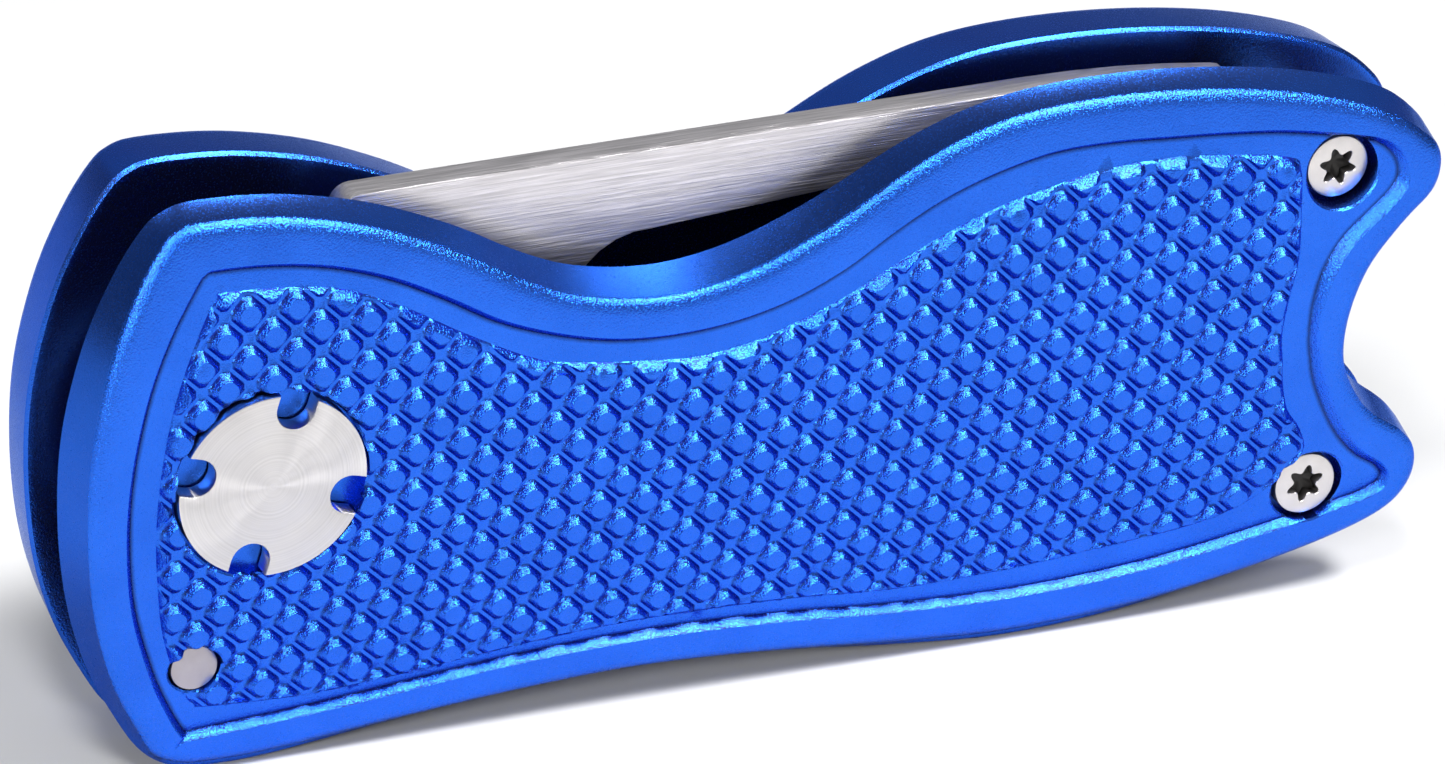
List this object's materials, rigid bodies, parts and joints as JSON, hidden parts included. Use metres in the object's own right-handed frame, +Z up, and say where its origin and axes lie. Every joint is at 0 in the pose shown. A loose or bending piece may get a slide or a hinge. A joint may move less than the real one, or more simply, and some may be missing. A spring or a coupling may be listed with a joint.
{
  "type": "folding divot repair tool",
  "caption": "Folding divot repair tool: two anodised metal scales, a steel two-tined fork that swings out, a push button and a magnetic ball marker.",
  "frame": {"origin": "centre of the bounding box's bottom, on the surface that the closed tool's long lower edge stands on", "axes": "+X along the handle from the pivot end to the notched butt, -Y out of the textured face, +Z up, towards the edge that the fork opens over"},
  "size_m": [0.0827, 0.0129, 0.0351],
  "materials": {
    "blue_anodised": "bright blue anodised over a fine blasted grain",
    "brushed_steel": "brushed along the fork",
    "turned_steel": "fine concentric turning marks",
    "screw_steel": "satin",
    "spring_steel": "drawn wire",
    "magnet_plating": "nickel plated",
    "enamel": "pale gloss enamel",
    "polymer": "dark nylon"
  },
  "bodies": {
    "handle": {"textured_scale": "blue_anodised", "marker_scale": "blue_anodised", "pivot_cap": "turned_steel", "pivot_barrel": "turned_steel", "front_washer": "turned_steel", "spring_bush": "polymer", "torsion_spring": "spring_steel", "stop_pin": "screw_steel", "upper_spacer": "screw_steel", "lower_spacer": "screw_steel", "textured_upper_screw": "screw_steel", "textured_lower_screw": "screw_steel", "marker_upper_screw": "screw_steel", "marker_lower_screw": "screw_steel", "button_spring": "spring_steel", "marker_magnet": "magnet_plating"},
    "fork": {"fork": "brushed_steel"},
    "button": {"push_button": "turned_steel", "button_clip": "spring_steel"},
    "marker": {"ball_marker": "turned_steel", "marker_inlay": "enamel"}
  },
  "joints": [
    {"name": "fork_hinge", "type": "hinge", "parent": "handle", "child": "fork", "pos_m": [-0.0301, 0, 0.01867], "axis": [0, -1, 0], "range_deg": [0, 180], "deforming": ["torsion_spring"]},
    {"name": "button_press", "type": "slide", "parent": "handle", "child": "button", "axis": [0, -1, 0], "range_m": [0, 0.0012], "stiffness_N_per_m": 500, "springref_m": -0.001, "deforming": ["button_spring"]},
    {"name": "marker_lift", "type": "slide", "parent": "handle", "child": "marker", "axis": [0, 1, 0], "range_m": [0, 0.008]}
  ]
}
